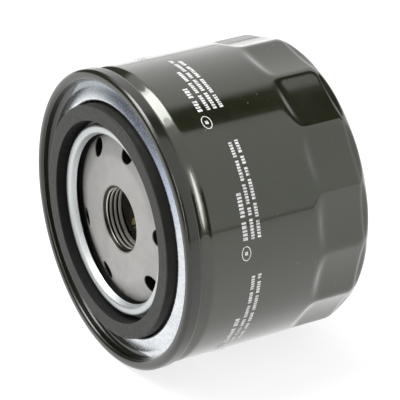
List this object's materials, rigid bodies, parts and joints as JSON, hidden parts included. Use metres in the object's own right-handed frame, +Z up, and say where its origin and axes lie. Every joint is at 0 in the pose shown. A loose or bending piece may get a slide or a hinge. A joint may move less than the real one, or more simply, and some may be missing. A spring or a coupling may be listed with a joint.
{
  "type": "oil filter",
  "caption": "Spin-on oil filter: a round painted can with wrench flats, a seamed lid, a threaded base plate and a ring gasket, with its element and valves inside.",
  "frame": {"origin": "on the axis where the thread begins, 1.3 mm behind the base plate's outer face, at the inner end of the mouth's chamfer", "axes": "Y is the filter's axis: the threaded, gasketed end faces -Y and the closed end faces +Y; Z is up as the filter lies on its side"},
  "size_m": [0.0926, 0.0694, 0.0926],
  "materials": {
    "black_paint": "gloss black enamel with a faint warm grey cast and fine dust",
    "zinc_plate": "bright zinc coating with a soft blue spangle; its rolled edge is painted black",
    "seam_compound": "matt sealing compound",
    "rubber": "satin black moulded rubber",
    "plain_steel": "matt light grey steel with an oiled film",
    "valve_rubber": "satin black oil-resistant rubber",
    "tinned_steel": "thin bright pressed sheet",
    "adhesive": "amber cured adhesive",
    "filter_paper": "yellow resin-treated filter paper",
    "spring_steel": "oiled spring wire"
  },
  "bodies": {
    "housing": {"can": "black_paint", "seaming_lid": "zinc_plate", "seam_compound": "seam_compound", "sealing_gasket": "rubber", "base_plate": "plain_steel", "anti_drain_valve": "valve_rubber", "element_spring": "spring_steel"},
    "element": {"front_end_cap": "tinned_steel", "rear_end_cap": "tinned_steel", "front_potting": "adhesive", "rear_potting": "adhesive", "centre_tube": "tinned_steel", "pleated_media": "filter_paper", "media_seam_clip": "tinned_steel", "bypass_seat": "tinned_steel", "bypass_cage": "tinned_steel", "bypass_spring": "spring_steel"},
    "poppet": {"bypass_poppet": "plain_steel", "bypass_seal": "valve_rubber"}
  },
  "joints": [
    {"name": "element_float", "type": "slide", "parent": "housing", "child": "element", "axis": [0, 1, 0], "range_m": [0, 0.0015], "stiffness_N_per_m": 12000, "springref_m": -0.004, "deforming": ["element_spring"]},
    {"name": "bypass_lift", "type": "slide", "parent": "element", "child": "poppet", "axis": [0, -1, 0], "range_m": [0, 0.003], "stiffness_N_per_m": 2500, "springref_m": -0.008, "deforming": ["bypass_spring"]}
  ]
}
